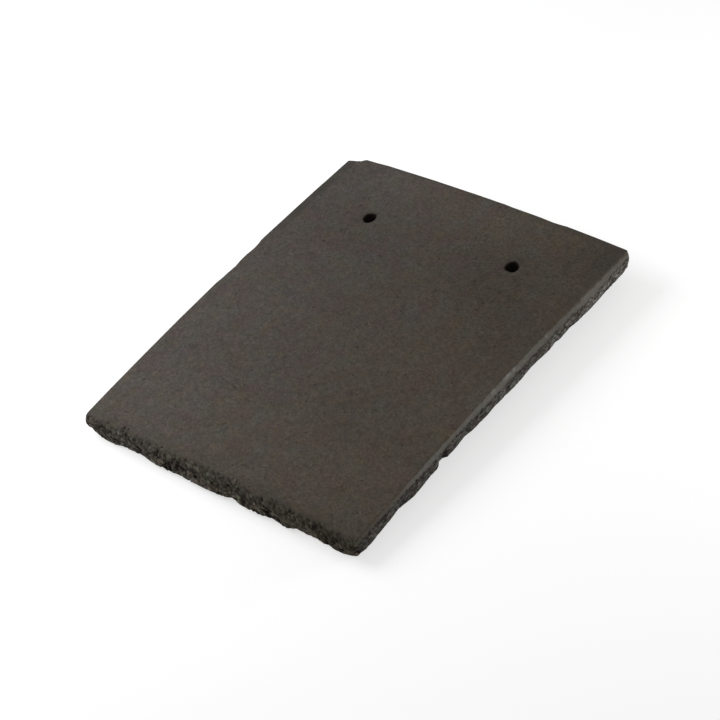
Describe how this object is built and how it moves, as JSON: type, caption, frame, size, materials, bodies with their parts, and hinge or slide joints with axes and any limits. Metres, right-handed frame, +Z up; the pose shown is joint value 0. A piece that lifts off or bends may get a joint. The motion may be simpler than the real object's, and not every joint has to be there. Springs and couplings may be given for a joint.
{
  "type": "concrete plain tile",
  "caption": "Short concrete plain roofing tile with a double camber, nail holes near its head and nibs under the head to hook over a batten",
  "frame": {"origin": "middle of the box that the tile fills, on the floor it lies on", "axes": "+Y from the tail to the head, +X across the tile, +Z up, away from the floor, with the weather face upward"},
  "size_m": [0.165, 0.1902, 0.0211],
  "materials": {
    "concrete": "smooth-faced through-coloured concrete, matt, dark grey-brown, with rough cut ends and pitted sides"
  },
  "bodies": {
    "root": {"plain_tile": "concrete"}
  },
  "joints": []
}
